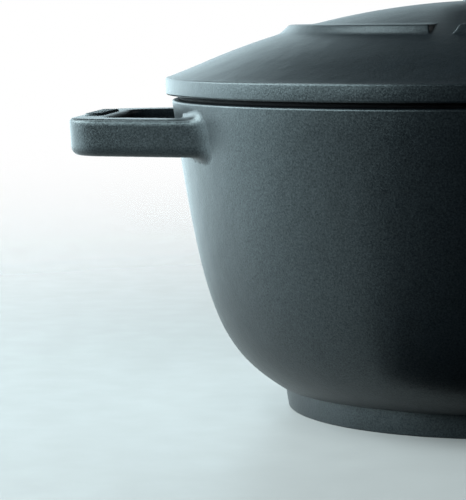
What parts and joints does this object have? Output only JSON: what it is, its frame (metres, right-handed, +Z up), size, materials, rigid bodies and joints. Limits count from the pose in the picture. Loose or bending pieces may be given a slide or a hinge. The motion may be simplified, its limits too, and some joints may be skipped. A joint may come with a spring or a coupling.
{
  "type": "stovetop pressure cooker",
  "caption": "Cast stovetop pressure cooker: tapered pot with loop handles and a foot, domed lid that seals on a ring and locks by turning, with regulator, indicator and safety valve.",
  "frame": {"origin": "middle of the foot, on the surface the pot stands on", "axes": "+Z up, +X along the line through the two loop handles"},
  "size_m": [0.303, 0.24, 0.184],
  "materials": {
    "cast_black": "sand-cast aluminium with a matte black coating that keeps the fine casting grain",
    "base_steel": "turned ferritic steel with fine concentric lines",
    "black_silicone": "smooth moulded silicone, dull black",
    "insert_brass": "turned brass",
    "black_phenolic": "moulded phenolic with a soft sheen",
    "turned_steel": "turned stainless steel",
    "red_silicone": "moulded red-brown silicone, matte",
    "red_enamel": "red enamelled steel",
    "spring_steel": "bright drawn wire"
  },
  "bodies": {
    "pot_body": {"pot": "cast_black", "base_plate": "base_steel", "base_studs": "base_steel"},
    "seal_body": {"seal_ring": "black_silicone"},
    "lid_body": {"lid": "cast_black", "knob_insert": "insert_brass", "knob": "black_phenolic", "knob_cap": "turned_steel", "knob_screw": "turned_steel", "knob_gasket": "red_silicone", "vent_pipe": "turned_steel", "vent_gasket": "red_silicone", "vent_nut": "turned_steel", "vent_strainer": "turned_steel", "indicator_bush": "turned_steel", "indicator_gasket": "red_silicone", "indicator_nut": "turned_steel", "safety_body": "turned_steel", "safety_gasket": "red_silicone", "safety_nut": "turned_steel", "safety_spring": "spring_steel", "safety_cap": "turned_steel"},
    "regulator_body": {"regulator_weight": "turned_steel", "regulator_cap": "black_phenolic"},
    "indicator_body": {"indicator_pin": "red_enamel", "indicator_collar": "turned_steel", "indicator_seal": "red_silicone"},
    "safety_plunger_body": {"safety_plunger": "turned_steel", "safety_seal": "red_silicone"}
  },
  "joints": [
    {"name": "lid_lift", "type": "slide", "parent": "pot_body", "child": "seal_body", "axis": [0, 0, 1], "range_m": [0, 0.06]},
    {"name": "lid_turn", "type": "hinge", "parent": "seal_body", "child": "lid_body", "pos_m": [0, 0, 0.1164], "axis": [0, 0, 1], "range_deg": [0, 30]},
    {"name": "regulator_lift", "type": "slide", "parent": "lid_body", "child": "regulator_body", "axis": [0, 0, 1], "range_m": [0, 0.02]},
    {"name": "indicator_rise", "type": "slide", "parent": "lid_body", "child": "indicator_body", "axis": [0, 0, 1], "range_m": [0, 0.005]},
    {"name": "safety_pop", "type": "slide", "parent": "lid_body", "child": "safety_plunger_body", "axis": [0, 0, 1], "range_m": [0, 0.002], "stiffness_N_per_m": 600, "springref_m": -0.004, "deforming": ["safety_spring"]}
  ]
}
